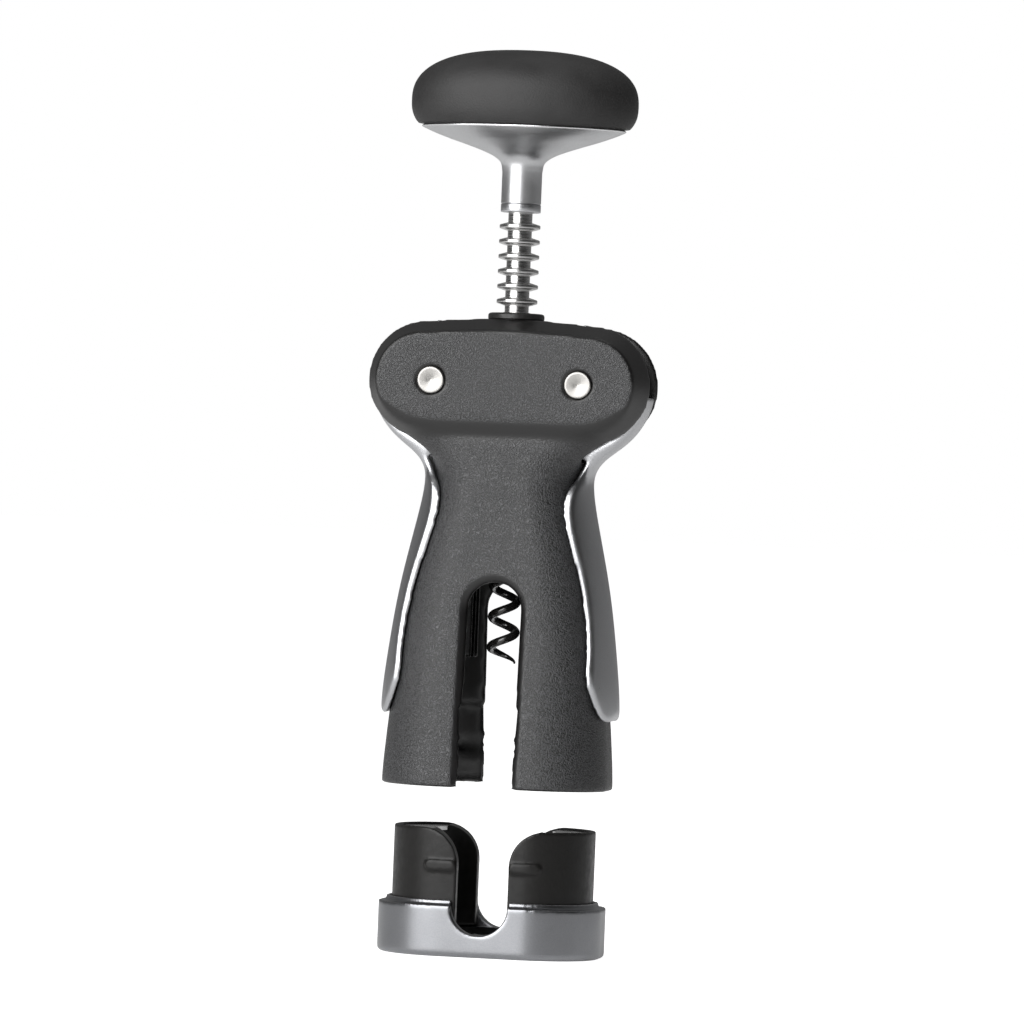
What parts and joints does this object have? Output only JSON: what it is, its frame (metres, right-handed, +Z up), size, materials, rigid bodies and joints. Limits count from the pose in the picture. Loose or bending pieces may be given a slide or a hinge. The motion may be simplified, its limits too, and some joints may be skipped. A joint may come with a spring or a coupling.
{
  "type": "wing corkscrew",
  "caption": "Wing corkscrew with a toothed lift shaft, swinging wings, an oval soft-grip knob and a lift-off foil cutter that fits the body's foot.",
  "frame": {"origin": "middle of the flat face under the foil cutter, at the part's foot", "axes": "+Z up along the shaft, +X towards the right wing, -Y towards the front window"},
  "size_m": [0.0748, 0.0444, 0.2375],
  "materials": {
    "body_plastic": "fine-grained black",
    "inner_plastic": "glossy black",
    "cutter_plastic": "smooth satin black",
    "soft_rubber": "soft matte black",
    "bush_plastic": "satin black",
    "satin_metal": "satin silver",
    "steel": "turned and polished",
    "pin_steel": "brushed",
    "coated_steel": "glossy black non-stick coat"
  },
  "bodies": {
    "body": {"housing": "body_plastic", "bottle_guide": "inner_plastic", "shaft_bush": "bush_plastic", "left_pivot_pin": "pin_steel", "right_pivot_pin": "pin_steel", "left_pin_cap": "pin_steel", "right_pin_cap": "pin_steel", "left_wing_washers": "steel", "right_wing_washers": "steel"},
    "carrier": {"neck_ferrule": "satin_metal"},
    "spindle": {"rack_shaft": "steel", "worm": "coated_steel", "worm_plug": "steel", "worm_pin": "steel", "knob_core": "satin_metal", "knob_screw": "steel", "knob_grip": "soft_rubber"},
    "right_wing": {"right_wing": "satin_metal"},
    "left_wing": {"left_wing": "satin_metal"},
    "cutter": {"cutter_ring": "satin_metal", "cutter_base": "inner_plastic"},
    "right_arm": {"right_cutter_arm": "cutter_plastic", "right_wheel_plate": "steel", "right_wheel_pins": "steel"},
    "left_arm": {"left_cutter_arm": "cutter_plastic", "left_wheel_plate": "steel", "left_wheel_pins": "steel"},
    "front_left_roller": {"front_left_wheel": "steel"},
    "front_right_roller": {"front_right_wheel": "steel"},
    "rear_left_roller": {"rear_left_wheel": "steel"},
    "rear_right_roller": {"rear_right_wheel": "steel"}
  },
  "joints": [
    {"name": "shaft_lift", "type": "slide", "parent": "body", "child": "carrier", "axis": [0, 0, -1], "range_m": [0, 0.032]},
    {"name": "knob_turn", "type": "hinge", "parent": "carrier", "child": "spindle", "pos_m": [0, 0, 0.19], "axis": [0, 0, 1], "continuous": true},
    {"name": "right_wing_swing", "type": "hinge", "parent": "body", "child": "right_wing", "pos_m": [0.0194, 0, 0.1497], "axis": [0, -1, 0], "range_deg": [0, 122.3]},
    {"name": "left_wing_swing", "type": "hinge", "parent": "body", "child": "left_wing", "pos_m": [-0.0194, 0, 0.1497], "axis": [0, 1, 0], "range_deg": [0, 122.3]},
    {"name": "cutter_lift", "type": "slide", "parent": "body", "child": "cutter", "axis": [0, 0, 1], "range_m": [0, 0.0305]},
    {"name": "right_arm_squeeze", "type": "hinge", "parent": "cutter", "child": "right_arm", "pos_m": [0.008, 0, 0.0063], "axis": [0, -1, 0], "range_deg": [0, 2.5], "stiffness_Nm_per_rad": 2.5},
    {"name": "left_arm_squeeze", "type": "hinge", "parent": "cutter", "child": "left_arm", "pos_m": [-0.008, 0, 0.0063], "axis": [0, 1, 0], "range_deg": [0, 2.5], "stiffness_Nm_per_rad": 2.5},
    {"name": "front_left_wheel_spin", "type": "hinge", "parent": "left_arm", "child": "front_left_roller", "pos_m": [-0.01708, -0.00761, 0.0283], "axis": [0, 0, 1], "continuous": true},
    {"name": "front_right_wheel_spin", "type": "hinge", "parent": "right_arm", "child": "front_right_roller", "pos_m": [0.01708, -0.00761, 0.0283], "axis": [0, 0, 1], "continuous": true},
    {"name": "rear_left_wheel_spin", "type": "hinge", "parent": "left_arm", "child": "rear_left_roller", "pos_m": [-0.01708, 0.00761, 0.0283], "axis": [0, 0, 1], "continuous": true},
    {"name": "rear_right_wheel_spin", "type": "hinge", "parent": "right_arm", "child": "rear_right_roller", "pos_m": [0.01708, 0.00761, 0.0283], "axis": [0, 0, 1], "continuous": true}
  ],
  "couplings": [
    {"joint": "right_wing_swing", "follows": "shaft_lift", "rad_per_m": 66.667},
    {"joint": "left_wing_swing", "follows": "shaft_lift", "rad_per_m": 66.667}
  ]
}
